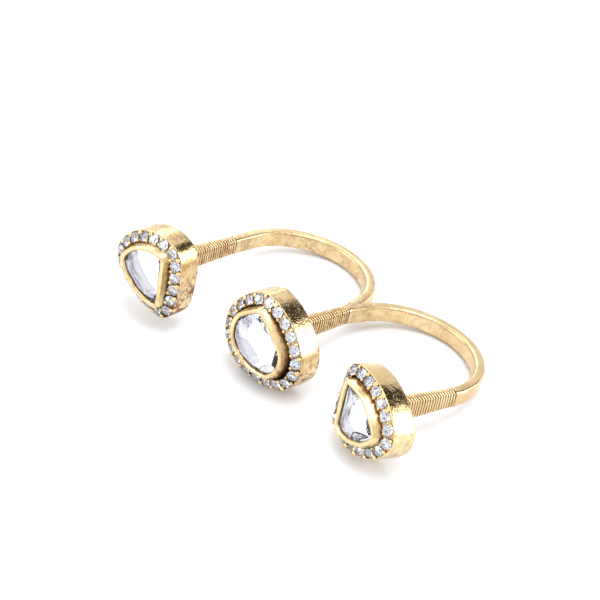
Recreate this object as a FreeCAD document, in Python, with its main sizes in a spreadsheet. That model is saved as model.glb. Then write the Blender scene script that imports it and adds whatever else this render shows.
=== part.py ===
import FreeCAD, Part
import math
import os

import Sketcher

# Two finger ring: a soldered gold-coloured frame, wire wound on its necks, and set stones.
# The ring is drawn flat: X runs along the row of heads, +Y to the back of the finger loops,
# and Z is the axis of the fingers. At the end everything is laid over into the pose in which
# the ring rests on its side, with the origin at the bottom centre of its box.

Vector = FreeCAD.Vector
UP = Vector(0, 0, 1)

doc = FreeCAD.newDocument("two_finger_ring")
sizes = doc.addObject("Spreadsheet::Sheet", "sizes")
sheet_rows = []


def size(name, value):
    """Write one driving dimension into the sheet, in mm or degrees."""
    sheet_rows.append(name)
    cell = "B%d" % len(sheet_rows)
    sizes.set("A%d" % len(sheet_rows), name)
    sizes.set(cell, "%.6g" % value)
    sizes.setAlias(cell, name)


def read(name):
    """The value of one driving dimension, as the sheet gives it."""
    return float(sizes.get(name))


# Driving dimensions: the band

size("loop_pitch", 19.63)
size("left_bore_radius", 8.45)
size("right_bore_radius", 8.86)
size("left_loop_back", 0.0)
size("right_loop_back", -0.35)
size("band_thick", 1.38)
size("band_wide", 2.2)
size("band_edge_radius", 0.18)
size("left_inner_turn", 73.5)
size("right_inner_turn", 78.0)
size("left_outer_turn", 91.0)
size("right_outer_turn", 92.0)
size("left_leg", 3.35)
size("right_leg", 0.3)
size("left_junction_run", 3.3)
size("right_junction_run", 2.35)

# Driving dimensions: the necks and the wire on them

size("wire_dia", 0.4)
size("wrap_gap", 0.04)
size("wrap_start_wide", 1.5)
size("wrap_start_high", 2.4)
size("wrap_end_wide", 2.0)
size("wrap_end_high", 3.15)
size("wrap_edge_radius", 0.6)
size("neck_root", 0.6)

# Driving dimensions: the heads

size("cup_depth", 3.35)
size("cup_back_radius", 0.3)
size("lip_wide", 0.15)
size("lip_high", 0.2)
size("ledge_inset", 1.47)
size("ledge_rise", 0.5)
size("trench_inset", 1.4)
size("trench_depth", 0.75)
size("bezel_high", 1.45)
size("bezel_wall", 0.58)
size("seat_level", -0.35)

# Driving dimensions: the stones

size("stone_gap", 0.05)
size("stone_girdle_level", 1.0)
size("stone_girdle_thick", 0.12)
size("stone_table_level", 1.5)
size("stone_table_scale", 0.56)
size("stone_base_scale", 0.62)
size("halo_dia", 1.42)
size("halo_inset", 0.83)
size("halo_lift", 0.14)
size("halo_crown", 0.24)
size("halo_girdle", 0.06)
size("halo_pavilion", 0.58)
size("halo_table_scale", 0.58)
size("halo_seat_gap", 0.04)

# Driving dimensions: how the ring lies

size("lie_pitch", 11.8)
size("lie_roll", 0.0)

# One row for each head: where the centre of its front rim is, how it is turned, its halo count,
# where its neck starts, and the neck's turn. Turns are about Z, in degrees, and tilt looks up.

HEADS = {
    "left": {"x": -17.87, "y": -19.06, "z": -0.05, "turn": 8.3, "tilt": -0.9, "halo": 18},
    "middle": {"x": 0.36, "y": -15.49, "z": 0.02, "turn": 2.9, "tilt": 0.4, "halo": 20},
    "right": {"x": 17.47, "y": -14.58, "z": 0.42, "turn": -10.3, "tilt": 6.9, "halo": 18},
}
NECKS = {
    "left": {"x": -18.9, "y": -3.53, "turn": 3.0},
    "middle": {"x": -0.05, "y": -0.8, "turn": 1.2},
    "right": {"x": 19.35, "y": -1.03, "turn": -7.2},
}

# One row for each rounded corner of a head's outline, seen from the front and going round
# anticlockwise: the corner's centre, its radius, and the radius of the bowed side after it.

RIMS = {
    "left": (
        {"u": 2.9, "v": -2.75, "corner": 2.2, "side": 16.5},
        {"u": 2.1, "v": 2.65, "corner": 2.85, "side": 6.6},
        {"u": -2.4, "v": 0.75, "corner": 3.0, "side": 10.0},
    ),
    "middle": (
        {"u": 2.05, "v": -0.75, "corner": 4.5, "side": 8.95},
        {"u": -1.05, "v": 3.7, "corner": 2.3, "side": 8.25},
        {"u": -1.35, "v": -0.35, "corner": 5.2, "side": 9.6},
    ),
    "right": (
        {"u": -3.4, "v": -3.35, "corner": 1.6, "side": 7.15},
        {"u": 3.1, "v": -0.8, "corner": 2.75, "side": 9.5},
        {"u": -3.3, "v": 2.05, "corner": 2.2, "side": 130.0},
    ),
}
BEZELS = {
    "left": (
        {"u": 2.7, "v": -2.4, "corner": 0.85, "side": 100.0},
        {"u": 2.3, "v": 3.2, "corner": 0.75, "side": 5.0},
        {"u": -2.95, "v": 0.6, "corner": 0.72, "side": 6.7},
    ),
    "middle": (
        {"u": 1.1, "v": -0.75, "corner": 3.15, "side": 25.0},
        {"u": -0.85, "v": 3.5, "corner": 0.8, "side": 9.4},
        {"u": -1.05, "v": -0.05, "corner": 3.5, "side": 6.8},
    ),
    "right": (
        {"u": -1.45, "v": -2.55, "corner": 1.65, "side": 6.05},
        {"u": 2.75, "v": -1.15, "corner": 1.2, "side": 8.15},
        {"u": -3.1, "v": 1.55, "corner": 0.75, "side": 98.0},
    ),
}


def corner_size(head, part, index, key):
    """The sheet name of one number of an outline table."""
    return "%s_%s_corner_%s_%s" % (head, part, "abc"[index], key)


for part, table in (("rim", RIMS), ("bezel", BEZELS)):
    for head, corners in table.items():
        for index, corner in enumerate(corners):
            for key, value in corner.items():
                size(corner_size(head, part, index, key), value)
for head, row in HEADS.items():
    for key in ("x", "y", "z", "turn", "tilt"):
        size("%s_head_%s" % (head, key), row[key])
for head, row in NECKS.items():
    for key in ("x", "y", "turn"):
        size("%s_neck_%s" % (head, key), row[key])
doc.recompute()


# Placements

def turned(turn, tilt=0.0):
    """The rotation of a piece whose front faces -Y, turned about Z and tilted to look up."""
    facing = FreeCAD.Rotation(Vector(1, 0, 0), Vector(0, 0, 1), Vector(0, -1, 0))
    about_z = FreeCAD.Rotation(UP, turn)
    look_up = FreeCAD.Rotation(Vector(1, 0, 0), -tilt)
    return about_z.multiply(look_up).multiply(facing)


def head_placement(head):
    """A head's own frame: u to the right seen from the front, v up, and +Z out of its face."""
    centre = Vector(*[read("%s_head_%s" % (head, key)) for key in "xyz"])
    rotation = turned(read("%s_head_turn" % head), read("%s_head_tilt" % head))
    return FreeCAD.Placement(centre, rotation)


def neck_placement(head):
    """A neck's own frame: its start, with +Z along the neck towards the head."""
    start = Vector(read("%s_neck_x" % head), read("%s_neck_y" % head), 0)
    return FreeCAD.Placement(start, turned(read("%s_neck_turn" % head)))


def neck_length(head):
    """How far it is along the neck from its start to the flat back of the cup."""
    place = head_placement(head)
    normal = place.Rotation.multVec(UP)
    back = place.Base - normal * read("cup_depth")
    neck = neck_placement(head)
    along = neck.Rotation.multVec(UP)
    return (back - neck.Base).dot(normal) / along.dot(normal)


def slant_room(head):
    """How far a wrap stops short of its cup, because the cup's back is not square to the neck."""
    aslant = math.radians(read("%s_head_turn" % head) - read("%s_neck_turn" % head))
    leaning = math.radians(read("%s_head_tilt" % head))
    across = read("wrap_end_wide") / 2 * abs(math.tan(aslant))
    return across + read("wrap_end_high") / 2 * abs(math.tan(leaning))


# Sketches

def new_sketch(body, name):
    """An empty sketch on the body's own XY plane."""
    plane = [item for item in body.Origin.OriginFeatures if item.Role == "XY_Plane"][0]
    sketch = body.newObject("Sketcher::SketchObject", name)
    sketch.AttachmentSupport = [(plane, "")]
    sketch.MapMode = "FlatFace"
    return sketch


def named_constraint(sketch, name, constraint, formula):
    """Add a dimension to a sketch and bind it to the sheet."""
    index = sketch.addConstraint(constraint)
    sketch.renameConstraint(index, name)
    sketch.setExpression("Constraints.%s" % name, formula)


def rounded_rectangle(body, name, wide, high, radius, level):
    """A rounded rectangle centred on the body's axis; its sizes and level are formulas.

    It is drawn as a small square first, and the sheet then sets its real size.
    """
    sketch = new_sketch(body, name)
    sketch.setExpression("AttachmentOffset.Base.z", level)
    half, corner = 1.0, 0.1
    flat = half - corner
    quarters = ((1, -1, -90), (1, 1, 0), (-1, 1, 90), (-1, -1, 180))
    for x, y, start in quarters:
        first, last = math.radians(start), math.radians(start + 90)
        sketch.addGeometry(arc(Vector(x * flat, y * flat, 0), corner, first, last))
    for index in range(4):
        end = sketch.getPoint(index, 2)
        sketch.addGeometry(Part.LineSegment(end, sketch.getPoint((index + 1) % 4, 1)))
    for index in range(4):
        sketch.addConstraint(Sketcher.Constraint("Tangent", index, 2, 4 + index, 1))
        sketch.addConstraint(Sketcher.Constraint("Tangent", 4 + index, 2, (index + 1) % 4, 1))
    for index, direction in enumerate(("Vertical", "Horizontal", "Vertical", "Horizontal")):
        sketch.addConstraint(Sketcher.Constraint(direction, 4 + index))
    for index in range(1, 4):
        sketch.addConstraint(Sketcher.Constraint("Equal", 0, index))
    sketch.addConstraint(Sketcher.Constraint("Symmetric", 1, 3, 3, 3, -1, 1))
    named_constraint(sketch, "corner", Sketcher.Constraint("Radius", 0, corner), radius)
    named_constraint(sketch, "wide", Sketcher.Constraint("DistanceX", 6, 1, 4, 1, 2 * half), wide)
    named_constraint(sketch, "high", Sketcher.Constraint("DistanceY", 7, 1, 5, 1, 2 * half), high)
    return sketch


def outline_arcs(head, part, inset):
    """The arcs of a head's outline, inset all round: a corner, its side, the next corner, ..."""
    corners = []
    for index in range(3):
        values = [read(corner_size(head, part, index, key)) for key in ("u", "v", "corner", "side")]
        corners.append((Vector(values[0], values[1], 0), values[2], values[3]))
    sides = []
    for index, (centre, corner, side) in enumerate(corners):
        other, other_corner, _ = corners[(index + 1) % 3]
        span = other - centre
        along = Vector(span).normalize()
        near, far = side - corner, side - other_corner
        step = (span.Length ** 2 + near ** 2 - far ** 2) / (2 * span.Length)
        rise = math.sqrt(near ** 2 - step ** 2)
        sides.append(centre + along * step + UP.cross(along) * rise)
    arcs = []
    for index, (centre, corner, side) in enumerate(corners):
        before, after = sides[index - 1], sides[index]
        start = heading(centre - before)
        middle = heading(centre - after)
        end = heading(corners[(index + 1) % 3][0] - after)
        arcs.append(arc(centre, corner - inset, start, middle))
        arcs.append(arc(after, side - inset, middle, end))
    return arcs


def heading(direction):
    """The angle of a direction in its plane."""
    return math.atan2(direction.y, direction.x)


def arc(centre, radius, start, end):
    """An anticlockwise arc between two angles."""
    while end < start:
        end += 2 * math.pi
    return Part.ArcOfCircle(Part.Circle(centre, UP, radius), start, end)


def outline_wire(head, part, inset, level=0.0):
    """A head's outline as a plain closed wire."""
    wire = Part.Wire([piece.toShape() for piece in outline_arcs(head, part, inset)])
    wire.translate(UP * level)
    return wire


def add_outline(sketch, head, part, inset):
    """Draw a head's outline in a sketch, tangent all round, with its sizes from the sheet.

    inset is a formula of sheet names, such as sizes.lip_wide.
    """
    inset_value = sum(read(word.strip().replace("sizes.", "")) for word in inset.split("+") if word)
    first = sketch.GeometryCount
    for piece in outline_arcs(head, part, inset_value):
        sketch.addGeometry(piece)
    for index in range(6):
        here, there = first + index, first + (index + 1) % 6
        sketch.addConstraint(Sketcher.Constraint("Tangent", here, 2, there, 1))
    less = " - (%s)" % inset if inset else ""
    for index in range(3):
        corner, side = first + 2 * index, first + 2 * index + 1
        tag = "%s%d" % ("abc"[index], first)
        centre = sketch.Geometry[corner].Center
        for key, kind, value in (("u", "DistanceX", centre.x), ("v", "DistanceY", centre.y)):
            constraint = Sketcher.Constraint(kind, -1, 1, corner, 3, value)
            formula = "sizes." + corner_size(head, part, index, key)
            named_constraint(sketch, key + tag, constraint, formula)
        for key, curve in (("corner", corner), ("side", side)):
            constraint = Sketcher.Constraint("Radius", curve, sketch.Geometry[curve].Radius)
            formula = "sizes." + corner_size(head, part, index, key) + less
            named_constraint(sketch, key + tag, constraint, formula)


def outline_sketch(body, name, head, part, insets, level_formula):
    """A sketch with one outline, or with an outer and an inner one, at a level from the sheet."""
    sketch = new_sketch(body, name)
    sketch.setExpression("AttachmentOffset.Base.z", level_formula)
    for inset in insets:
        add_outline(sketch, head, part, inset)
    return sketch


# Features

def feature(body, kind, name, profile, formulas=None, **settings):
    """A PartDesign feature of a body, with its sizes from the sheet."""
    made = body.newObject("PartDesign::" + kind, name)
    made.Profile = profile
    for key, value in settings.items():
        setattr(made, key, value)
    for key, formula in (formulas or {}).items():
        made.setExpression(key, formula)
    doc.recompute()
    return made


def rounded_edges(body, name, radius_formula, chosen):
    """A fillet on the edges of a body's tip for which chosen says yes."""
    base = body.Tip
    names = ["Edge%d" % (index + 1) for index, edge in enumerate(base.Shape.Edges) if chosen(edge)]
    fillet = body.newObject("PartDesign::Fillet", name)
    fillet.Base = (base, names)
    fillet.setExpression("Radius", radius_formula)
    doc.recompute()
    return fillet


def new_body(name):
    """A body with its name as its label."""
    body = doc.addObject("PartDesign::Body", name)
    body.Label = name
    return body


# The band: two flat bars bent round the fingers

def join_ends(sketch, kind, first, second):
    """Constrain the two ends at which neighbouring pieces of a path meet."""
    pairs = [(here, there) for here in (1, 2) for there in (1, 2)]
    here, there = min(pairs, key=lambda pair: sketch.getPoint(first, pair[0]).distanceToPoint(
        sketch.getPoint(second, pair[1])))
    sketch.addConstraint(Sketcher.Constraint(kind, first, here, second, there))


def loop_body(side):
    """One finger loop: a straight leg, the arc round the finger, and the run to the junction."""
    name = "finger_loop_" + side
    body = new_body(name)
    hand = -1 if side == "left" else 1
    inner = read(side + "_bore_radius")
    outer = inner + read("band_thick")
    centre = Vector(hand * read("loop_pitch") / 2, read(side + "_loop_back"), 0)
    outer_turn = math.radians(read(side + "_outer_turn"))
    inner_turn = math.radians(read(side + "_inner_turn"))

    def at(radius, turn):
        """A point of the loop, with the turn counted outwards from the back."""
        return centre + Vector(hand * math.sin(turn), math.cos(turn), 0) * radius

    def ahead(turn):
        """The way on along the loop, outwards from the back."""
        return Vector(hand * math.cos(turn), -math.sin(turn), 0)

    leg = ahead(outer_turn) * read(side + "_leg")
    run = ahead(-inner_turn) * -read(side + "_junction_run")
    back = (outer_turn - inner_turn) / 2
    path = (
        (at(outer, outer_turn) + leg, at(outer, outer_turn)),
        (at(outer, outer_turn), at(outer, back), at(outer, -inner_turn)),
        (at(outer, -inner_turn), at(outer, -inner_turn) + run),
        (at(outer, -inner_turn) + run, at(inner, -inner_turn) + run),
        (at(inner, -inner_turn) + run, at(inner, -inner_turn)),
        (at(inner, -inner_turn), at(inner, back), at(inner, outer_turn)),
        (at(inner, outer_turn), at(inner, outer_turn) + leg),
        (at(inner, outer_turn) + leg, at(outer, outer_turn) + leg),
    )
    sketch = new_sketch(body, name + "_plan")
    for points in path:
        sketch.addGeometry(Part.LineSegment(*points) if len(points) == 2 else Part.Arc(*points))
    leg_line, outer_arc, run_line, run_end, inner_run, inner_arc, inner_leg, leg_end = range(8)
    for first, second in ((leg_line, outer_arc), (outer_arc, run_line),
                          (inner_run, inner_arc), (inner_arc, inner_leg)):
        join_ends(sketch, "Tangent", first, second)
    for first, second in ((run_line, run_end), (run_end, inner_run),
                          (inner_leg, leg_end), (leg_end, leg_line)):
        join_ends(sketch, "Coincident", first, second)
        sketch.addConstraint(Sketcher.Constraint("Perpendicular", first, second))
    sketch.addConstraint(Sketcher.Constraint("Coincident", inner_arc, 3, outer_arc, 3))
    leg_angle = math.atan2(-leg.y, -leg.x)
    run_angle = math.atan2(run.y, run.x)
    turns = {
        "left": ("sizes.left_outer_turn * 1 deg", "-sizes.left_inner_turn * 1 deg"),
        "right": ("(180 - sizes.right_outer_turn) * 1 deg", "(sizes.right_inner_turn - 180) * 1 deg"),
    }[side]
    for label, constraint, formula in (
            ("centre_x", Sketcher.Constraint("DistanceX", -1, 1, inner_arc, 3, centre.x),
             "%d * sizes.loop_pitch / 2" % hand),
            ("centre_y", Sketcher.Constraint("DistanceY", -1, 1, inner_arc, 3, centre.y),
             "sizes.%s_loop_back" % side),
            ("bore", Sketcher.Constraint("Radius", inner_arc, inner), "sizes.%s_bore_radius" % side),
            ("outside", Sketcher.Constraint("Radius", outer_arc, outer),
             "sizes.%s_bore_radius + sizes.band_thick" % side),
            ("leg", Sketcher.Constraint("Distance", inner_leg, leg.Length), "sizes.%s_leg" % side),
            ("run", Sketcher.Constraint("Distance", inner_run, run.Length),
             "sizes.%s_junction_run" % side),
            ("leg_turn", Sketcher.Constraint("Angle", leg_line, leg_angle), turns[0]),
            ("run_turn", Sketcher.Constraint("Angle", run_line, run_angle), turns[1])):
        named_constraint(sketch, label, constraint, formula)
    feature(body, "Pad", name + "_bar", sketch, {"Length": "sizes.band_wide"}, Midplane=True)
    half = read("band_wide") / 2
    rounded_edges(body, name + "_edges", "sizes.band_edge_radius",
                  lambda edge: all(abs(abs(vertex.Z) - half) < 1e-6 for vertex in edge.Vertexes)
                  and edge.Length > read("band_thick") * 1.05)
    return body


# The necks: a tapered core, and the wire wound on it

def tapered_body(name, placement, levels, inset):
    """A tapered bar whose section follows the wire's outside, drawn in by a formula."""
    body = new_body(name)
    profiles = []
    for end, level in zip(("start", "end"), levels):
        wide = "sizes.wrap_%s_wide - 2 * (%s)" % (end, inset)
        high = "sizes.wrap_%s_high - 2 * (%s)" % (end, inset)
        radius = "sizes.wrap_edge_radius - (%s)" % inset
        profiles.append(rounded_rectangle(body, "%s_%s" % (name, end), wide, high, radius, level))
    doc.recompute()
    loft = body.newObject("PartDesign::AdditiveLoft", name + "_bar")
    loft.Profile = profiles[0]
    loft.Sections = [profiles[1]]
    loft.Ruled = True
    body.Placement = placement
    return body


def wire_wrap(head):
    """The wound wire of one neck, as a sleeve with the wire's outer shape."""
    length = neck_length(head) - slant_room(head)
    name = "wire_wrap_" + head
    sleeve = doc.addObject("Part::Cut", name)
    sleeve.Base = tapered_body(name + "_outside", FreeCAD.Placement(),
                               ("sizes.wrap_gap", "%.4f - sizes.wrap_gap" % length), "0")
    sleeve.Tool = tapered_body(name + "_inside", FreeCAD.Placement(),
                               ("-sizes.neck_root", "%.4f + sizes.neck_root" % length),
                               "sizes.wire_dia")
    sleeve.Placement = neck_placement(head)
    return sleeve


def neck_core(head):
    """The plain neck inside the wire, from the band into the cup's back."""
    levels = ("-sizes.neck_root", "%.4f + sizes.neck_root" % neck_length(head))
    return tapered_body("neck_" + head, neck_placement(head), levels,
                        "sizes.wire_dia + sizes.wrap_gap")


# The heads

def head_body(head):
    """One head: the cup with its lip, ledge and trench, and the bezel with its seat."""
    name = "head_" + head
    body = new_body(name)

    cup = outline_sketch(body, name + "_cup_plan", head, "rim", ("",), "-sizes.cup_depth")
    feature(body, "Pad", name + "_cup", cup, {"Length": "sizes.cup_depth - sizes.lip_high"})
    back = -read("cup_depth")
    rounded_edges(body, name + "_cup_back", "sizes.cup_back_radius",
                  lambda edge: all(abs(vertex.Z - back) < 1e-6 for vertex in edge.Vertexes))

    lip = outline_sketch(body, name + "_lip_plan", head, "rim", ("", "sizes.lip_wide"),
                         "-sizes.lip_high")
    feature(body, "Pad", name + "_lip", lip, {"Length": "sizes.lip_high"})

    foot = outline_sketch(body, name + "_ledge_foot", head, "rim", ("sizes.lip_wide",),
                          "-sizes.lip_high")
    top = outline_sketch(body, name + "_ledge_top", head, "rim", ("sizes.ledge_inset",),
                         "sizes.ledge_rise")
    doc.recompute()
    ledge = body.newObject("PartDesign::AdditiveLoft", name + "_ledge")
    ledge.Profile = foot
    ledge.Sections = [top]
    ledge.Ruled = True
    doc.recompute()

    trench = outline_sketch(body, name + "_trench_plan", head, "rim", ("sizes.trench_inset",),
                            "sizes.ledge_rise")
    feature(body, "Pocket", name + "_trench", trench,
            {"Length": "sizes.ledge_rise + sizes.trench_depth"})

    bezel = outline_sketch(body, name + "_bezel_plan", head, "bezel", ("",),
                           "-sizes.trench_depth")
    feature(body, "Pad", name + "_bezel", bezel,
            {"Length": "sizes.trench_depth + sizes.bezel_high"})
    seat = outline_sketch(body, name + "_seat_plan", head, "bezel", ("sizes.bezel_wall",),
                          "sizes.bezel_high")
    feature(body, "Pocket", name + "_seat", seat,
            {"Length": "sizes.bezel_high - sizes.seat_level"})
    return body


# The halo stones and their seats

HALO_FACETS = 8
HALF_STEP = 0.5


def halo_places(head):
    """Where each halo stone's girdle is in the head's own frame, with its axis."""
    inset = read("halo_inset")
    wire = outline_wire(head, "rim", inset)
    count = HEADS[head]["halo"]
    slope = math.atan2(read("ledge_rise") + read("lip_high"), read("ledge_inset") - read("lip_wide"))
    level = (inset - read("lip_wide")) * math.tan(slope) - read("lip_high")
    rim = outline_wire(head, "rim", 0.0)
    places = []
    for point in wire.discretize(Number=count + 1)[:-1]:
        rim_point = rim.distToShape(Part.Vertex(point))[1][0][0]
        outward = Vector(rim_point - point).normalize()
        axis = UP * math.cos(slope) + outward * math.sin(slope)
        places.append((point + UP * level + axis * read("halo_lift"), axis))
    return places


def faceted(faces):
    """A solid of flat polygons."""
    shell = Part.makeShell([Part.Face(Part.makePolygon(list(points) + [points[0]])) for points in faces])
    solid = Part.makeSolid(shell)
    if solid.Volume < 0:
        solid.reverse()
    return solid


def ring_of(points, level):
    """The same outline points at another level."""
    return [Vector(point.x, point.y, level) for point in points]


def cut_stone(girdle, table, base, levels):
    """A faceted stone with a table, crown and pavilion facets and a flat base or a culet.

    girdle holds the corners of the girdle, table and base those of the two flats, half a step on,
    and levels are those of the table, the girdle's top and bottom, and the base.
    """
    count = len(girdle)
    table_level, upper_level, lower_level, base_level = levels
    upper, lower = ring_of(girdle, upper_level), ring_of(girdle, lower_level)
    top, bottom = ring_of(table, table_level), ring_of(base, base_level)
    faces = [top]
    for index in range(count):
        after = (index + 1) % count
        faces.append((upper[index], upper[after], top[index]))
        faces.append((top[index], upper[after], top[after]))
        faces.append((lower[index], lower[after], upper[after], upper[index]))
        if len(bottom) == 1:
            faces.append((bottom[0], lower[after], lower[index]))
        else:
            faces.append((bottom[index], lower[after], lower[index]))
            faces.append((bottom[after], lower[after], bottom[index]))
    if len(bottom) > 1:
        faces.append(bottom[::-1])
    return faceted(faces)


def circle_points(radius, count, start):
    """Evenly spaced points of a circle about Z."""
    turns = [2 * math.pi * (index + start) / count for index in range(count)]
    return [Vector(radius * math.cos(turn), radius * math.sin(turn), 0) for turn in turns]


def brilliant():
    """One round halo stone about Z, with the middle of its girdle at the origin."""
    radius = read("halo_dia") / 2
    half = read("halo_girdle") / 2
    levels = (half + read("halo_crown"), half, -half, -half - read("halo_pavilion"))
    girdle = circle_points(radius, HALO_FACETS, 0.0)
    table = circle_points(radius * read("halo_table_scale"), HALO_FACETS, HALF_STEP)
    return cut_stone(girdle, table, [Vector()], levels)


def seat_cutter():
    """The drilled seat of one halo stone: a cone that clears its pavilion, open upwards."""
    radius = read("halo_dia") / 2 + read("halo_seat_gap")
    mouth = -UP * read("halo_girdle") / 2
    depth = read("halo_pavilion") + 2 * read("halo_seat_gap")
    cone = Part.makeCone(0, radius, depth, mouth - UP * depth)
    clear = Part.makeCylinder(radius, read("halo_dia"), mouth)
    return cone.fuse(clear)


def set_on_ledge(shape, place):
    """A copy of a shape drawn about Z, put on the ledge."""
    position, axis = place
    moved = shape.copy()
    moved.Placement = FreeCAD.Placement(position, FreeCAD.Rotation(UP, axis))
    return moved


def seated_head(head):
    """A head with the seats of its halo stones drilled in the ledge."""
    body = head_body(head)
    seats = doc.addObject("Part::Feature", "halo_seats_" + head)
    seats.Shape = Part.makeCompound([set_on_ledge(seat_cutter(), place) for place in halo_places(head)])
    drilled = doc.addObject("Part::Cut", "drilled_head_" + head)
    drilled.Base = body
    drilled.Tool = seats
    drilled.Placement = head_placement(head)
    return drilled


def halo_stones(head):
    """The small brilliants of one head, loose and clear of each other."""
    stones = doc.addObject("Part::Feature", "halo_stones_" + head)
    stones.Shape = Part.makeCompound([set_on_ledge(brilliant(), place) for place in halo_places(head)])
    stones.Placement = head_placement(head)
    return stones


# The main stones

MAIN_FACETS = 12


def main_stone(head):
    """The stone in a head's bezel, cut with a broad table, crown facets and a flat base."""
    inset = read("bezel_wall") + read("stone_gap")
    girdle_wire = outline_wire(head, "bezel", inset)
    centre = Part.Face(girdle_wire).CenterOfMass
    doubled = girdle_wire.discretize(Number=2 * MAIN_FACETS + 1)[:-1]
    girdle, between = doubled[0::2], doubled[1::2]

    def shrunk(points, scale):
        """Points drawn in towards the centre."""
        return [centre + (point - centre) * scale for point in points]

    girdle_level = read("stone_girdle_level")
    levels = (read("stone_table_level"), girdle_level, girdle_level - read("stone_girdle_thick"),
              read("seat_level") + read("stone_gap"))
    table = shrunk(between, read("stone_table_scale"))
    base = shrunk(between, read("stone_base_scale"))
    stone = doc.addObject("Part::Feature", "main_stone_" + head)
    stone.Shape = cut_stone(girdle, table, base, levels)
    stone.Placement = head_placement(head)
    return stone


# The whole ring

def ring_frame():
    """The soldered metal: the loops, the necks and the heads in one solid."""
    pieces = [loop_body(side) for side in ("left", "right")]
    for head in HEADS:
        pieces.append(neck_core(head))
        pieces.append(seated_head(head))
    frame = doc.addObject("Part::MultiFuse", "ring_frame")
    frame.Shapes = pieces
    return frame


frame = ring_frame()
wraps = [wire_wrap(head) for head in HEADS]
stones = [main_stone(head) for head in HEADS]
halos = [halo_stones(head) for head in HEADS]
parts = [frame] + wraps + stones + halos
doc.recompute()

# Lay the ring on its side: pitch lowers the back of the loops, roll lowers the left head

laid = FreeCAD.Rotation(Vector(0, 1, 0), read("lie_roll")).multiply(
    FreeCAD.Rotation(Vector(1, 0, 0), -read("lie_pitch")))
lie = FreeCAD.Placement(Vector(), laid)
for part in parts:
    part.Placement = lie.multiply(part.Placement)
doc.recompute()
box = Part.makeCompound([part.Shape for part in parts]).optimalBoundingBox(False, False)
drop = FreeCAD.Placement(Vector(-box.Center.x, -box.Center.y, -box.ZMin), FreeCAD.Rotation())
for part in parts:
    part.Placement = drop.multiply(part.Placement)
    part.Label = part.Name
doc.recompute()

# Checks, then one file for each piece

for item in doc.Objects:
    if "Invalid" in item.State or "Error" in item.State:
        raise RuntimeError("%s is not right: %s" % (item.Name, item.State))
os.makedirs("parts", exist_ok=True)
for part in parts:
    shape = part.Shape
    if shape.isNull() or not shape.isValid():
        raise RuntimeError("%s has no valid shape" % part.Name)
    shape.exportStep("parts/%s.step" % part.Name)
    print("%-20s solids %2d, faces %4d, volume %8.2f mm3" % (
        part.Name, len(shape.Solids), len(shape.Faces), shape.Volume))
print("box %.2f x %.2f x %.2f mm" % (box.XLength, box.YLength, box.ZLength))
print("origin moved by %.4f, %.4f, %.4f mm" % tuple(drop.Base))
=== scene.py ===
# %% [markdown]
# # Dressing a two finger ring
# The ring is old gold: two open loops for two fingers, three necks wound with wire, and three
# heads that each hold a clear stone in a bezel, inside a row of small stones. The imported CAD
# model gives every place and size. This lesson makes each piece again with soft edges, hand-made
# unevenness and detailed finishes, and puts it where its CAD piece is.

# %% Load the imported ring
import math

import bmesh
import bpy
from mathutils import Matrix, Vector, noise


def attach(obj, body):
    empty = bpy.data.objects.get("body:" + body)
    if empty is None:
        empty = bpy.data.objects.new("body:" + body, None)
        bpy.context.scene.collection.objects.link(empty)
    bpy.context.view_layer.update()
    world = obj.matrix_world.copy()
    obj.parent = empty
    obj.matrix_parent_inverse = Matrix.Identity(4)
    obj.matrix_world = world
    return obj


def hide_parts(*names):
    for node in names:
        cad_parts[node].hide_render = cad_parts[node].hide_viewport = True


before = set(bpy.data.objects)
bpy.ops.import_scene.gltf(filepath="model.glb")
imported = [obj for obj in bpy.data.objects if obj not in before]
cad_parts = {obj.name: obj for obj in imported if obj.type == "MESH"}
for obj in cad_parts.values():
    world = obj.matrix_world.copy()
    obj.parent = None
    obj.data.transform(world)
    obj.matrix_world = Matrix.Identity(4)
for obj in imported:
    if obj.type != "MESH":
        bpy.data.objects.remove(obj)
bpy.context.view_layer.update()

# %% [markdown]
# ## How the ring lies
# A ring is easiest to draw flat, with the finger holes looking straight up, in millimetres. The
# real one can't lie flat, because its heads are deep: it leans back on the edge of the middle
# head and on both loops. One matrix takes the flat drawing, in millimetres, to that pose, in
# metres, and every piece below is baked through it, so that its object stays unturned at the
# origin.

# %% The pose matrix
MM = 0.001
LEAN = math.radians(11.8)
ORIGIN_SHIFT = Vector((-0.0501, 5.4042, 3.0662))
UP = Vector((0, 0, 1))

leaning = Matrix.Rotation(-LEAN, 4, "X")
ring_pose = Matrix.Scale(MM, 4) @ Matrix.Translation(ORIGIN_SHIFT) @ leaning

# %% [markdown]
# ## The camera
# The photograph was taken with a long lens from the front left, looking down. The camera is given
# by its own right, up and back directions in the flat drawing, and by how far away it is, so it
# can be turned with the ring into the lying pose. Nothing is shifted and nothing is out of focus.

# %% Camera
CAMERA_RIGHT = Vector((0.661488, 0.714352, 0.228330))
CAMERA_UP = Vector((-0.506414, 0.200908, 0.838559))
CAMERA_BACK = Vector((0.553153, -0.670326, 0.494656))
# How far the camera is to the right, up and back, in millimetres.
CAMERA_PLACE = CAMERA_RIGHT * -6.491 + CAMERA_UP * 1.654 + CAMERA_BACK * 261.54

camera_data = bpy.data.cameras.new("camera")
camera_data.sensor_width = 36.0
camera_data.lens = 124.54
camera_data.clip_start = 0.01
camera = bpy.data.objects.new("camera", camera_data)
bpy.context.collection.objects.link(camera)
camera_turn = Matrix((CAMERA_RIGHT, CAMERA_UP, CAMERA_BACK)).transposed()
camera.matrix_world = (Matrix.Translation(ring_pose @ CAMERA_PLACE)
                       @ leaning @ camera_turn.to_4x4())
bpy.context.scene.camera = camera
print("camera at", camera.matrix_world.translation)

# %% [markdown]
# ## Node trees from script
# Shader trees and geometry trees are built the same way: add a node, set its options, and give
# each input a value or a link. One helper does all three, so that each tree below reads from top
# to bottom, in the order in which its data flows.

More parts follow.
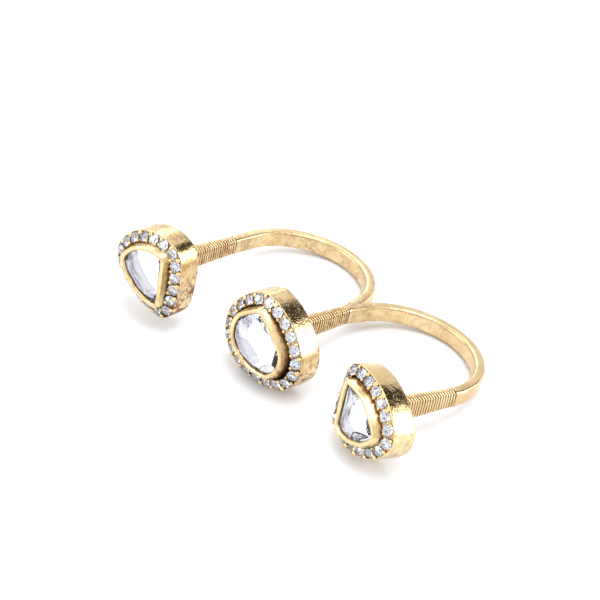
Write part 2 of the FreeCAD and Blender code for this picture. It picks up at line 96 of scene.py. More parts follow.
# %% Node helpers
def node(tree, kind, inputs=None, **settings):
    """Add a node, set its options, and give its inputs their values or links."""
    made = tree.nodes.new(kind)
    for key, value in settings.items():
        setattr(made, key, value)
    for key, value in (inputs or {}).items():
        if isinstance(value, bpy.types.NodeSocket):
            tree.links.new(value, made.inputs[key])
        else:
            made.inputs[key].default_value = value
    return made


def new_group(name, kind, inputs, outputs):
    """A node group with named sockets; inputs are rows of name, kind and usual value."""
    tree = bpy.data.node_groups.new(name, kind)
    for label, socket, usual in inputs:
        made = tree.interface.new_socket(label, in_out="INPUT", socket_type="NodeSocket" + socket)
        if usual is not None:
            made.default_value = usual
    for label, socket in outputs:
        tree.interface.new_socket(label, in_out="OUTPUT", socket_type="NodeSocket" + socket)
    return tree, tree.nodes.new("NodeGroupInput"), tree.nodes.new("NodeGroupOutput")


def math_node(tree, operation, *values, clamp=False):
    """The result of a Math node."""
    made = node(tree, "ShaderNodeMath", dict(enumerate(values)), operation=operation,
                use_clamp=clamp)
    return made.outputs[0]


def vector_node(tree, operation, *values):
    """The result of a Vector Math node."""
    made = node(tree, "ShaderNodeVectorMath", dict(enumerate(values)), operation=operation)
    return made.outputs[0]


def scaled(tree, vector, factor):
    """A vector made longer or shorter."""
    made = node(tree, "ShaderNodeVectorMath", {0: vector, "Scale": factor}, operation="SCALE")
    return made.outputs[0]


def mixed(tree, factor, first, second):
    """The result of a colour Mix node."""
    made = node(tree, "ShaderNodeMix", {0: factor, 6: first, 7: second}, data_type="RGBA")
    return made.outputs[2]


def ramp(tree, value, low, high, to_low=0.0, to_high=1.0):
    """A value taken from one range to another, and kept inside it."""
    made = node(tree, "ShaderNodeMapRange", {0: value, 1: low, 2: high, 3: to_low, 4: to_high})
    return made.outputs[0]


def noise_value(tree, place, scale, detail=2.0, roughness=0.5):
    """A noise between 0 and 1; scale counts its waves along a metre."""
    made = node(tree, "ShaderNodeTexNoise", {"Vector": place, "Scale": scale, "Detail": detail,
                                             "Roughness": roughness})
    return made.outputs[0]

# %% [markdown]
# ## The finish of old gold
# Cast gold that was polished by hand keeps fine pits, soft blotches of tone, and dark patina
# where a cloth can't reach. All of its pieces share this, so it is one node group: it turns a
# value of patina and painted shade, which the meshes carry as an attribute, and some noise into
# a colour, a roughness and a height. That value darkens the hollows, crevices and gaps: partly
# real patina, partly painted shade where shade falls.

# %% Old gold group
def old_gold_group():
    """The shared finish of the gold, with its painted shade: colour, roughness and height."""
    tree, source, result = new_group(
        "old_gold_finish_and_shade", "ShaderNodeTree",
        [("Shade And Patina", "Float", 0.0), ("Bright", "Color", (1, 0.8, 0.5, 1)),
         ("Deep", "Color", (0.8, 0.5, 0.2, 1)), ("Patina And Shade Color", "Color", (0.1, 0.05, 0.02, 1)),
         ("Patina", "Float", 0.4), ("Pits", "Float", 0.3), ("Roughness", "Float", 0.2)],
        [("Color", "Color"), ("Roughness", "Float"), ("Height", "Float")])
    given = source.outputs
    place = tree.nodes.new("ShaderNodeTexCoord").outputs["Object"]
    broad = noise_value(tree, place, 260.0, 4.0, 0.6)
    blotch = noise_value(tree, place, 620.0, 6.0, 0.7)
    hammer = noise_value(tree, place, 1700.0, 3.0, 0.6)
    grain = noise_value(tree, place, 4200.0, 3.0, 0.6)
    gold = mixed(tree, ramp(tree, broad, 0.35, 0.65), given["Deep"], given["Bright"])
    # The mottled stains are stronger low down, as painted shade: a dimmer floor mirrored in the
    # lower sides. They are also stronger on the left head and the middle one.
    split = node(tree, "ShaderNodeSeparateXYZ", {"Vector": place}).outputs
    low_shade = ramp(tree, split["Z"], 0.0078, 0.0035, 0.6, 1.9)
    leftward = ramp(tree, split["X"], 0.015, 0.0, 0.45, 1.25)
    fine = math_node(tree, "MULTIPLY", hammer, 0.4)
    mottle = math_node(tree, "MULTIPLY_ADD", blotch, 0.6, fine)
    stain_and_shade = math_node(tree, "MULTIPLY", ramp(tree, mottle, 0.44, 0.62), given["Patina"])
    stain_and_shade = math_node(tree, "MULTIPLY", stain_and_shade, math_node(tree, "MULTIPLY", low_shade, leftward))
    pits = math_node(tree, "MULTIPLY", ramp(tree, grain, 0.38, 0.30), given["Pits"])
    stain_and_shade = math_node(tree, "ADD", stain_and_shade, pits)
    # Patina and painted shade in the hollows, crevices and gaps, from the attribute.
    stain_and_shade = math_node(tree, "ADD", stain_and_shade, given["Shade And Patina"])
    worn = ramp(tree, grain, 0.3, 0.62, 0.45, 1.15)
    broken = math_node(tree, "MULTIPLY", stain_and_shade, worn, clamp=True)
    tree.links.new(mixed(tree, broken, gold, given["Patina And Shade Color"]), result.inputs["Color"])
    rough = math_node(tree, "MULTIPLY_ADD", broken, 0.3, given["Roughness"])
    rough = math_node(tree, "ADD", rough, ramp(tree, grain, 0.3, 0.7, -0.04, 0.06))
    tree.links.new(rough, result.inputs["Roughness"])
    waves = math_node(tree, "MULTIPLY_ADD", hammer, 0.7, math_node(tree, "MULTIPLY", grain, 0.12))
    dents = math_node(tree, "MULTIPLY", pits, 0.4)
    tree.links.new(math_node(tree, "SUBTRACT", waves, dents), result.inputs["Height"])
    return tree


old_gold = old_gold_group()

# %% [markdown]
# ## Materials from the group
# Each kind of surface is its own material with the Principled shader in it. Numbers that are the
# same all over, such as Metallic, stay on the shader's own sockets, and only what varies over the
# surface is linked.

# %% Gold materials
def new_material(name, plain):
    """A new material with its tree and its shader; plain holds the numbers set on the shader."""
    material = bpy.data.materials.new(name)
    material.use_nodes = True
    shader = material.node_tree.nodes["Principled BSDF"]
    for label, value in plain.items():
        shader.inputs[label].default_value = value
    return material, material.node_tree, shader


def gold_material(name, bright, deep, patina_and_shade_color, patina, pits, roughness, bump):
    """A gold with its own tones, patina, painted shade and polish; bump is the depth of its relief
    in metres.
    """
    material, tree, shader = new_material(name, {"Metallic": 1.0})
    recess = node(tree, "ShaderNodeAttribute", attribute_name="recess").outputs["Fac"]
    finish = node(tree, "ShaderNodeGroup", node_tree=old_gold)
    tree.links.new(recess, finish.inputs["Shade And Patina"])
    for label, value in (("Bright", bright), ("Deep", deep), ("Patina And Shade Color", patina_and_shade_color)):
        finish.inputs[label].default_value = (*value, 1)
    for label, value in (("Patina", patina), ("Pits", pits), ("Roughness", roughness)):
        finish.inputs[label].default_value = value
    relief = node(tree, "ShaderNodeBump", {"Height": finish.outputs["Height"], "Distance": bump,
                                           "Strength": 0.6})
    tree.links.new(finish.outputs["Color"], shader.inputs["Base Color"])
    tree.links.new(finish.outputs["Roughness"], shader.inputs["Roughness"])
    tree.links.new(relief.outputs[0], shader.inputs["Normal"])
    return material


PALE_GOLD = (0.93, 0.74, 0.43)
WARM_GOLD = (0.82, 0.59, 0.29)
BROWN = (0.24, 0.12, 0.055)

cup_gold = gold_material("cup_gold", PALE_GOLD, WARM_GOLD, BROWN,
                         patina=0.95, pits=0.25, roughness=0.11, bump=0.00012)
bezel_gold = gold_material("bezel_gold", PALE_GOLD, (0.86, 0.64, 0.31), BROWN,
                           patina=0.35, pits=0.15, roughness=0.17, bump=0.00005)
band_gold = gold_material("band_gold", (0.89, 0.70, 0.40), (0.76, 0.55, 0.28), BROWN,
                          patina=0.22, pits=0.4, roughness=0.2, bump=0.00004)
wire_gold = gold_material("wire_gold", PALE_GOLD, WARM_GOLD, BROWN,
                          patina=0.3, pits=0.1, roughness=0.15, bump=0.00001)
grain_gold = gold_material("grain_gold", PALE_GOLD, WARM_GOLD, BROWN,
                           patina=0.3, pits=0.1, roughness=0.15, bump=0.00001)
print("golds", [gold.name for gold in (cup_gold, bezel_gold, band_gold, wire_gold, grain_gold)])

# %% [markdown]
# ## Stones and the foil behind them
# The big stones are clear, with a silvery foil in the closed bezel behind them, which is why they
# look almost white. Real glass over a bright metal shell gives the same soft inner reflections.
# The small stones have a higher refractive index, so that their facets flash light and dark, and
# a little Metallic stands for the light that they throw back before it reaches the gold below.

# %% Stone materials
def stone_material(name, color, cloud, refraction, silver):
    """A clear cut stone; cloud is the tint of its veils, silver the share that acts as a mirror."""
    material, tree, shader = new_material(
        name, {"Transmission Weight": 1.0, "IOR": refraction, "Metallic": silver})
    place = tree.nodes.new("ShaderNodeTexCoord").outputs["Object"]
    veil = noise_value(tree, place, 420.0, 3.0)
    tint = mixed(tree, ramp(tree, veil, 0.4, 0.65), (*color, 1), (*cloud, 1))
    tree.links.new(tint, shader.inputs["Base Color"])
    tree.links.new(ramp(tree, veil, 0.3, 0.7, 0.0, 0.015), shader.inputs["Roughness"])
    return material


clear_stone = stone_material("clear_stone", (1.0, 1.0, 1.0), (0.97, 0.965, 1.0),
                             refraction=1.5, silver=0.0)
small_stone = stone_material("small_stone", (0.89, 0.92, 1.0), (0.82, 0.87, 1.0),
                             refraction=2.2, silver=0.08)
foil = gold_material("foil", (0.99, 0.99, 1.0), (0.92, 0.91, 0.99), (0.7, 0.68, 0.76),
                     patina=0.1, pits=0.05, roughness=0.22, bump=0.00015)
print("stones", clear_stone.name, small_stone.name, "over", foil.name)

# %% [markdown]
# ## From working mesh to finished piece
# Meshes are drawn in millimetres in a frame of their own. Finishing a piece means evaluating its
# modifiers, moving the mesh into the lying pose, smoothing all but its real edges, parenting it to
# the root body, and hiding the CAD pieces it stands for. Hand-made unevenness is a smooth noise,
# and its seed is fixed, so that every run makes the same ring.

# %% Mesh helpers
NOISE_SEED = 7
noise.seed_set(NOISE_SEED)
pieces = []


def working_mesh(name, points, faces=(), edges=(), floats=None, vectors=None):
    """An object from points and faces, with named values on its points."""
    mesh = bpy.data.meshes.new(name)
    mesh.from_pydata([tuple(point) for point in points], list(edges), list(faces))
    for label, values in (floats or {}).items():
        layer = mesh.attributes.new(label, "FLOAT", "POINT")
        layer.data.foreach_set("value", values)
    for label, values in (vectors or {}).items():
        layer = mesh.attributes.new(label, "FLOAT_VECTOR", "POINT")
        layer.data.foreach_set("vector", [number for value in values for number in value])
    made = bpy.data.objects.new(name, mesh)
    bpy.context.collection.objects.link(made)
    return made


def run_tree(made, tree, values):
    """Give a working mesh a geometry tree, with its named inputs set before it is evaluated."""
    modifier = made.modifiers.new(tree.name, "NODES")
    modifier.node_group = tree
    for item in tree.interface.items_tree:
        if item.item_type == "SOCKET" and item.in_out == "INPUT" and item.name in values:
            modifier[item.identifier] = values[item.name]


def finished(made, name, placement, material, replaces, smooth_below=40.0):
    """Turn a working mesh into a finished piece in the lying pose."""
    graph = bpy.context.evaluated_depsgraph_get()
    mesh = bpy.data.meshes.new_from_object(made.evaluated_get(graph), preserve_all_data_layers=True,
                                           depsgraph=graph)
    bpy.data.objects.remove(made)
    mesh.name = name
    mesh.transform(ring_pose @ placement)
    mesh.materials.clear()
    mesh.materials.append(material)
    for polygon in mesh.polygons:
        polygon.material_index = 0
    if smooth_below:
        mesh.shade_smooth()
        mesh.set_sharp_from_angle(angle=math.radians(smooth_below))
    else:
        mesh.shade_flat()
    piece = bpy.data.objects.new(name, mesh)
    bpy.context.collection.objects.link(piece)
    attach(piece, "root")
    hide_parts(*replaces)
    pieces.append(piece)
    print("%-22s %6d faces" % (name, len(mesh.polygons)))


def finished_gold(made, name, placement, material, smooth_below=40.0):
    """Finish a piece of the soldered metal, which is a single piece in the CAD model."""
    finished(made, name, placement, material, ["ring_frame"], smooth_below)


def uneven(point, size, amount):
    """How far a hand-made surface strays at a point; size is that of one swell."""
    return noise.noise_vector(point / size) * amount

# %% [markdown]
# ## The outlines
# Every head is drawn from two closed outlines, the rim of its cup and its bezel, and each outline
# is three rounded corners joined by three bowed sides. Such an outline can be drawn in by any
# amount and keeps its points in step, so whole walls are made by stacking it at different levels.

# %% Tables of the heads
# Place is the middle of a rim, turn and tilt are in degrees, and halo counts the small stones.
HEADS = {
    "left": {"place": (-17.87, -19.06, -0.05), "turn": 8.3, "tilt": -0.9, "halo": 18},
    "middle": {"place": (0.36, -15.49, 0.02), "turn": 2.9, "tilt": 0.4, "halo": 20},
    "right": {"place": (17.47, -14.58, 0.42), "turn": -10.3, "tilt": 6.9, "halo": 18},
}
# Corner is the radius of the corner about (u, v), and side that of the side after it.
RIMS = {
    "left": (
        {"u": 2.9, "v": -2.75, "corner": 2.2, "side": 16.5},
        {"u": 2.1, "v": 2.65, "corner": 2.85, "side": 6.6},
        {"u": -2.4, "v": 0.75, "corner": 3.0, "side": 10.0},
    ),
    "middle": (
        {"u": 2.05, "v": -0.75, "corner": 4.5, "side": 8.95},
        {"u": -1.05, "v": 3.7, "corner": 2.3, "side": 8.25},
        {"u": -1.35, "v": -0.35, "corner": 5.2, "side": 9.6},
    ),
    "right": (
        {"u": -3.4, "v": -3.35, "corner": 1.6, "side": 7.15},
        {"u": 3.1, "v": -0.8, "corner": 2.75, "side": 9.5},
        {"u": -3.3, "v": 2.05, "corner": 2.2, "side": 130.0},
    ),
}
BEZELS = {
    "left": (
        {"u": 2.7, "v": -2.4, "corner": 0.85, "side": 100.0},
        {"u": 2.3, "v": 3.2, "corner": 0.75, "side": 5.0},
        {"u": -2.95, "v": 0.6, "corner": 0.72, "side": 6.7},
    ),
    "middle": (
        {"u": 1.1, "v": -0.75, "corner": 3.15, "side": 25.0},
        {"u": -0.85, "v": 3.5, "corner": 0.8, "side": 9.4},
        {"u": -1.05, "v": -0.05, "corner": 3.5, "side": 6.8},
    ),
    "right": (
        {"u": -1.45, "v": -2.55, "corner": 1.65, "side": 6.05},
        {"u": 2.75, "v": -1.15, "corner": 1.2, "side": 8.15},
        {"u": -3.1, "v": 1.55, "corner": 0.75, "side": 98.0},
    ),
}

# %% Outlines as arcs
def facing(turn, tilt=0.0):
    """The turn of a piece whose front looks to -Y, turned about Z and tilted to look up."""
    turned = Matrix.Rotation(math.radians(turn), 4, "Z")
    tilted = Matrix.Rotation(math.radians(-tilt), 4, "X")
    return turned @ tilted @ Matrix.Rotation(math.radians(90), 4, "X")


def head_frame(head):
    """A head's own frame: u to the right, v up, and Z out of its face, from its rim."""
    row = HEADS[head]
    return Matrix.Translation(row["place"]) @ facing(row["turn"], row["tilt"])


def heading(direction):
    """The angle of a direction in its plane."""
    return math.atan2(direction.y, direction.x)


def outline_arcs(corners):
    """The arcs of an outline as rows of centre, radius, start and end angle."""
    centres = [Vector((row["u"], row["v"], 0)) for row in corners]
    sides = []
    for index, row in enumerate(corners):
        span = centres[(index + 1) % 3] - centres[index]
        near = row["side"] - row["corner"]
        far = row["side"] - corners[(index + 1) % 3]["corner"]
        step = (span.length ** 2 + near ** 2 - far ** 2) / (2 * span.length)
        along = span.normalized()
        away = math.sqrt(near ** 2 - step ** 2)
        sides.append(centres[index] + along * step + UP.cross(along) * away)
    arcs = []
    for index, row in enumerate(corners):
        start = heading(centres[index] - sides[index - 1])
        middle = heading(centres[index] - sides[index])
        end = heading(centres[(index + 1) % 3] - sides[index])
        for centre, radius, first, last in ((centres[index], row["corner"], start, middle),
                                            (sides[index], row["side"], middle, end)):
            last += 2 * math.pi if last < first else 0.0
            arcs.append((centre, radius, first, last))
    return arcs


def outline(corners, inset=0.0, level=0.0, spacing=0.25):
    """The points of an outline drawn in by inset; every inset has the same number of points."""
    points = []
    for centre, radius, first, last in outline_arcs(corners):
        count = max(3, math.ceil(radius * (last - first) / spacing))
        for index in range(count):
            angle = first + (last - first) * index / count
            outward = Vector((math.cos(angle), math.sin(angle), 0))
            points.append(centre + outward * (radius - inset) + UP * level)
    return points


def evenly(points, count, start=0.0):
    """Points spaced evenly round a closed outline, each with the way along it there."""
    ends = points[1:] + points[:1]
    lengths = [(end - point).length for point, end in zip(points, ends)]
    step = sum(lengths) / count
    found, walked, target = [], 0.0, start * step
    for point, end, length in zip(points, ends, lengths):
        while target <= walked + length and len(found) < count:
            found.append((point.lerp(end, (target - walked) / length), (end - point).normalized()))
            target += step
        walked += length
    return found

# %% [markdown]
# ## Stacking walls
# A wall is a table of rows, each with how far the outline is drawn in, at what level, and how
# much patina and painted shade that place gets. The rows are stacked as rings of points, joined by
# quads, and closed at both ends, so that the shape is solid and can be drilled.

# %% Stacked walls
def shell(name, rings, shade_and_patina_values):
    """A closed shell through rings of points, with a patina and painted shade value for each ring.
    """
    count = len(rings[0])
    points = [point for ring in rings for point in ring]
    faces = []
    for low in range(0, len(points) - count, count):
        high = low + count
        for index in range(count):
            after = (index + 1) % count
            faces.append((low + index, low + after, high + after, high + index))
    faces.append(tuple(reversed(range(count))))
    faces.append(tuple(range(len(points) - count, len(points))))
    depths = [recess for recess in shade_and_patina_values for point in rings[0]]
    return working_mesh(name, points, faces, floats={"recess": depths})


def stacked(name, corners, rows, size, amount, spacing=0.25):
    """A closed shell of stacked outlines; size and amount are those of its unevenness."""
    rings = []
    for inset, level, _ in rows:
        ring = outline(corners, inset, level, spacing)
        rings.append([point + uneven(point, size, amount) for point in ring])
    return shell(name, rings, [recess for _, _, recess in rows])


def rounded(inset, level, radius, start, end, recess, steps=4):
    """Rows round an edge: an arc about (inset, level) between two angles, 0 pointing outwards."""
    rows = []
    for index in range(steps + 1):
        angle = math.radians(start + (end - start) * index / steps)
        rows.append((inset - radius * math.cos(angle), level + radius * math.sin(angle), recess))
    return rows

# %% [markdown]
# ## The seats of the small stones
# The small stones sit round each head on a sloping ledge, in holes drilled for them. Each seat is
# a point with an axis. Geometry Nodes put one cutter on each point and subtract them all at once,
# which is just what the drill does, and leaves the scalloped edges between neighbouring holes.

# %% Drilling tree
def stored_vector(tree, name):
    """A vector that the points of the mesh carry."""
    made = node(tree, "GeometryNodeInputNamedAttribute", {"Name": name}, data_type="FLOAT_VECTOR")
    return made.outputs[0]


def end_tree(tree, mesh, finish, result):
    """End a geometry tree: real meshes in place of instances, with their material."""
    real = node(tree, "GeometryNodeRealizeInstances", {"Geometry": mesh})
    coated = node(tree, "GeometryNodeSetMaterial", {"Geometry": real.outputs[0],
                                                    "Material": finish})
    tree.links.new(coated.outputs[0], result.inputs[0])


def drilling_tree():
    """Subtract a cutter from the mesh at every seat."""
    tree, source, result = new_group(
        "drill_seats", "GeometryNodeTree",
        [("Geometry", "Geometry", None), ("Seats", "Object", None), ("Cutter", "Object", None),
         ("Finish", "Material", None)],
        [("Geometry", "Geometry")])
    given = source.outputs
    seats = node(tree, "GeometryNodeObjectInfo", {"Object": given["Seats"]})
    cutter = node(tree, "GeometryNodeObjectInfo", {"Object": given["Cutter"]})
    turn = node(tree, "FunctionNodeAlignRotationToVector", {"Vector": stored_vector(tree, "axis")},
                axis="Z")
    holes = node(tree, "GeometryNodeInstanceOnPoints",
                 {"Points": seats.outputs["Geometry"], "Instance": cutter.outputs["Geometry"],
                  "Rotation": turn.outputs[0]})
    solid = node(tree, "GeometryNodeRealizeInstances", {"Geometry": holes.outputs[0]})
    drilled = node(tree, "GeometryNodeMeshBoolean",
                   {"Mesh 1": given["Geometry"], "Mesh 2": solid.outputs[0]},
                   operation="DIFFERENCE", solver="MANIFOLD")
    end_tree(tree, drilled.outputs["Mesh"], given["Finish"], result)
    return tree


drill_seats = drilling_tree()

# %% [markdown]
# ## Setting stones and grains
# A second tree sets one small object on every point: it stands it on the point's axis, leans it a
# little, spins it by a seeded random amount and varies its size. It sets the brilliants in their
# seats and, with another object, the gold grains that hold them.

# %% Setting tree
def setting_tree():
    """Set a copy of an object on every point, a little uneven, as real meshes."""
    tree, source, result = new_group(
        "set_on_points", "GeometryNodeTree",
        [("Geometry", "Geometry", None), ("Piece", "Object", None), ("Unevenness", "Float", 0.05),
         ("Lean", "Float", 0.05), ("Seed", "Int", 1), ("Finish", "Material", None)],
        [("Geometry", "Geometry")])
    given = source.outputs
    piece = node(tree, "GeometryNodeObjectInfo", {"Object": given["Piece"]})
    # A Random Value node takes a vector's range on its sockets 0 and 1, and a float's on 2 and 3.
    stray = node(tree, "FunctionNodeRandomValue",
                 {0: (-1, -1, -1), 1: (1, 1, 1), "Seed": given["Seed"]}, data_type="FLOAT_VECTOR")
    leaning_by = scaled(tree, stray.outputs[0], given["Lean"])
    upright = vector_node(tree, "ADD", stored_vector(tree, "axis"), leaning_by)
    stand = node(tree, "FunctionNodeAlignRotationToVector", {"Vector": upright}, axis="Z")
    spin = node(tree, "FunctionNodeRandomValue", {3: 2 * math.pi, "Seed": given["Seed"]},
                data_type="FLOAT")
    about = node(tree, "FunctionNodeAxisAngleToRotation", {"Axis": (0, 0, 1),
                                                           "Angle": spin.outputs[1]})
    turned = node(tree, "FunctionNodeRotateRotation",
                  {"Rotation": stand.outputs[0], "Rotate By": about.outputs[0]},
                  rotation_space="LOCAL")
    least = math_node(tree, "SUBTRACT", 1.0, given["Unevenness"])
    size = node(tree, "FunctionNodeRandomValue", {2: least, 3: 1.0, "Seed": given["Seed"]},
                data_type="FLOAT")
    placed = node(tree, "GeometryNodeInstanceOnPoints",
                  {"Points": given["Geometry"], "Instance": piece.outputs["Geometry"],
                   "Rotation": turned.outputs[0], "Scale": size.outputs[1]})
    end_tree(tree, placed.outputs[0], given["Finish"], result)
    return tree


set_on_points = setting_tree()

# %% [markdown]
# ## One brilliant and its drill
# Stones as small as these are single cut: a table, eight facets round it, a round girdle, and
# eight facets that meet in a point below. Few and broad facets flash more than many fine ones.
# The points lie on rings about the axis, so the facets are a matter of counting. The drill is a
# cone with a straight mouth, a little larger than the stone.

# %% Small shapes
HALO_RADIUS = 0.71
HALO_TABLE = 0.56 * HALO_RADIUS
HALO_GIRDLE = 0.06
HALO_CROWN = 0.24
HALO_PAVILION = 0.58
SEAT_GAP = 0.04
# The walls of each seat are darkened, as patina and painted shade between the stones.
SEAT_SHADE_AND_PATINA = 0.9
GRAIN_DOME = 0.85


def ring_points(radius, level, count, start=0.0):
    """Points of a circle about Z; start is in steps."""
    turns = [2 * math.pi * (index + start) / count for index in range(count)]
    return [Vector((radius * math.cos(turn), radius * math.sin(turn), level)) for turn in turns]


def brilliant(sides=8):
    """One single-cut stone: a table, its crown facets, a round girdle and the facets below."""
    top, low = HALO_GIRDLE / 2, -HALO_GIRDLE / 2
    points = ring_points(HALO_TABLE, top + HALO_CROWN, sides)
    points += ring_points(HALO_RADIUS, top, 2 * sides) + ring_points(HALO_RADIUS, low, 2 * sides)
    points.append(Vector((0, 0, low - HALO_PAVILION)))
    upper, lower, tip = sides, 3 * sides, 5 * sides
    faces = [tuple(range(sides))]
    for index in range(sides):
        after = (index + 1) % sides
        near, between, far = 2 * index, 2 * index + 1, 2 * after
        faces.append((index, upper + near, upper + far, after))
        faces.append((upper + near, upper + between, upper + far))
        faces.append((tip, lower + far, lower + near))
        faces.append((lower + near, lower + far, lower + between))
    for index in range(2 * sides):
        after = (index + 1) % (2 * sides)
        faces.append((upper + index, lower + index, lower + after, upper + after))
    return working_mesh("brilliant", points, faces)


def drill(sides=28):
    """The cutter of one seat."""
    radius = HALO_RADIUS + SEAT_GAP
    mouth = -HALO_GIRDLE / 2
    tip = Vector((0, 0, mouth - HALO_PAVILION - 2 * SEAT_GAP))
    points = [tip] + ring_points(radius, mouth, sides) + ring_points(radius, 2 * HALO_RADIUS, sides)
    faces = [tuple(range(1 + sides, 1 + 2 * sides))]
    for index in range(sides):
        after = (index + 1) % sides
        faces.append((0, 1 + after, 1 + index))
        faces.append((1 + index, 1 + after, 1 + sides + after, 1 + sides + index))
    return working_mesh("drill", points, faces, floats={"recess": [SEAT_SHADE_AND_PATINA] * len(points)})


def grain(segments=10, rings=6):
    """One grain of gold of radius 1: a ball that is a little flattened."""
    points, faces = [Vector((0, 0, GRAIN_DOME))], []
    for ring in range(1, rings):
        angle = math.pi * ring / rings
        points += ring_points(math.sin(angle), GRAIN_DOME * math.cos(angle), segments)
    points.append(Vector((0, 0, -GRAIN_DOME)))
    for index in range(segments):
        after = (index + 1) % segments
        faces.append((0, 1 + index, 1 + after))
        for ring in range(rings - 2):
            low, high = 1 + ring * segments, 1 + (ring + 1) * segments
            faces.append((low + index, high + index, high + after, low + after))
        last = 1 + (rings - 2) * segments
        faces.append((last + index, len(points) - 1, last + after))
    return working_mesh("grain", points, faces)


brilliant_shape, drill_shape, grain_shape = brilliant(), drill(), grain()
small_shapes = (brilliant_shape, drill_shape, grain_shape)
print("small shapes", [(shape.name, len(shape.data.polygons)) for shape in small_shapes])

# %% [markdown]
# ## The cups
# A cup is cast in one with its ledge: a flat back, a plain wall, a thin lip that stands round the
# small stones, the ledge that slopes up towards the bezel, and a trench between ledge and bezel.
# The trench and the gaps between the stones are darkened, as patina and as painted shade, so those
# rows carry a high value. All rows are drawn in by a hair, so that the uneven wall never stands out
# of the CAD model's box.

# %% Cup measurements
CUP_DEPTH = 3.35
CUP_FLAT = 0.75
CUP_BACK_RADIUS = 0.3
CUP_EDGE = 0.06
CUP_EASE = 0.01
WALL_STEP = 0.3
WALL_ROWS = 9
LIP_WIDE = 0.15
LIP_EDGE = 0.03
LEDGE_FOOT = -0.2
LEDGE_TOP = 0.46
TRENCH_INSET = 1.4
TRENCH_FLOOR = -0.75
HALO_INSET = 0.83
HALO_LIFT = 0.14
LEDGE_RISE, LEDGE_RUN = 0.7, 1.32
LEDGE_SLOPE = math.atan2(LEDGE_RISE, LEDGE_RUN)


def cup_rows():
    """The rows of a cup from its back to the floor of its trench: inset, level, and patina with
    painted shade.
    """
    back = -CUP_DEPTH
    foot = back + CUP_BACK_RADIUS
    rows = [(CUP_FLAT, back, 0.1)]
    rows += rounded(CUP_BACK_RADIUS, foot, CUP_BACK_RADIUS, -90, 0, 0.1)
    rows += [(0.0, foot + WALL_STEP * step, 0.0) for step in range(1, WALL_ROWS + 1)]
    rows += rounded(CUP_EDGE, -CUP_EDGE, CUP_EDGE, 0, 90, 0.0)
    rows += [(LIP_WIDE - LIP_EDGE, 0.0, 0.05), (LIP_WIDE, -LIP_EDGE, 0.25),
             (LIP_WIDE, LEDGE_FOOT, 0.8)]
    for share in (0.25, 0.5, 0.75):
        inset = LIP_WIDE + (TRENCH_INSET - LIP_WIDE) * share
        rows.append((inset, LEDGE_FOOT + (LEDGE_TOP - LEDGE_FOOT) * share, 0.45))
    rows += rounded(TRENCH_INSET - CUP_EDGE, LEDGE_TOP - CUP_EDGE, CUP_EDGE, 90, 180, 0.3, 3)
    rows += [(TRENCH_INSET, 0.1, 0.4), (TRENCH_INSET, TRENCH_FLOOR, 0.8)]
    return [(inset + CUP_EASE, level, recess) for inset, level, recess in rows]


def halo_seats(head):
    """The girdle middle and the axis of each small stone of a head."""
    level = LEDGE_FOOT + (HALO_INSET - LIP_WIDE) * math.tan(LEDGE_SLOPE)
    places, axes = [], []
    for point, along in evenly(outline(RIMS[head], HALO_INSET, level), HEADS[head]["halo"]):
        outward = along.cross(UP)
        axis = UP * math.cos(LEDGE_SLOPE) + outward * math.sin(LEDGE_SLOPE)
        places.append(point + axis * HALO_LIFT)
        axes.append(axis)
    return places, axes


def dressed_cup(head):
    """A head's cup, with its seats drilled."""
    places, axes = halo_seats(head)
    seats = working_mesh("seats_" + head, places, vectors={"axis": axes})
    cup = stacked("cup", RIMS[head], cup_rows(), size=2.6, amount=0.05)
    run_tree(cup, drill_seats, {"Seats": seats, "Cutter": drill_shape, "Finish": cup_gold})
    finished_gold(cup, "cup_" + head, head_frame(head), cup_gold, smooth_below=35.0)
    bpy.data.objects.remove(seats)


for head in HEADS:
    dressed_cup(head)

# %% [markdown]
# ## The bezels
# The bezel is a strip of gold bent round the big stone and rubbed over its edge. Its rim is
# rounded and a little wavy, because it was closed by hand, it slopes in towards the stone, and
# its foot spreads a little where it is soldered into the cup.

# %% Bezels
BEZEL_HIGH = 1.45
BEZEL_WALL = 0.58
BEZEL_ROUND = 0.2
BEZEL_LEAN = 0.04


def bezel_rows():
    """The rows of a bezel from its foot, over its rim, to its floor: inset, level, and patina with
    painted shade.
    """
    # The foot in the trench and the inner wall behind the stone are darkened: patina and painted
    # shade.
    rows = [(-0.6, TRENCH_FLOOR - 0.2, 0.9), (-0.55, -0.5, 0.8), (-0.42, 0.0, 0.6),
            (-0.28, 0.5, 0.4), (-0.16, 0.9, 0.2), (-0.07, 1.15, 0.05)]
    rows += rounded(BEZEL_ROUND - BEZEL_LEAN, BEZEL_HIGH - BEZEL_ROUND, BEZEL_ROUND, 0, 90, 0.0)
    rows += [(0.32, BEZEL_HIGH - 0.01, 0.0), (0.44, BEZEL_HIGH - 0.05, 0.02),
             (0.53, BEZEL_HIGH - 0.12, 0.15), (BEZEL_WALL, BEZEL_HIGH - 0.24, 0.7),
             (BEZEL_WALL, 0.9, 1.0), (BEZEL_WALL, -0.4, 1.0)]
    return rows


for head in HEADS:
    bezel = stacked("bezel", BEZELS[head], bezel_rows(), size=1.7, amount=0.07, spacing=0.18)
    finished_gold(bezel, "bezel_" + head, head_frame(head), bezel_gold, smooth_below=50.0)

# %% [markdown]
# ## The small stones and their grains
# The brilliants go on the same seats that were drilled. A stone setter then raises two grains of
# gold in each gap between neighbours, a large one at the lip and a small one at the trench, and
# pushes them over the stones' edges.

# %% Halo stones and grains
GRAINS = (
    {"name": "outer", "inset": 0.34, "level": 0.16, "radius": 0.36},
    {"name": "inner", "inset": 1.22, "level": 0.56, "radius": 0.26},
)
BETWEEN_STONES = 0.5
GRAIN_TILT = 0.3
STONE_SEED = 3
GRAIN_SEED = 11


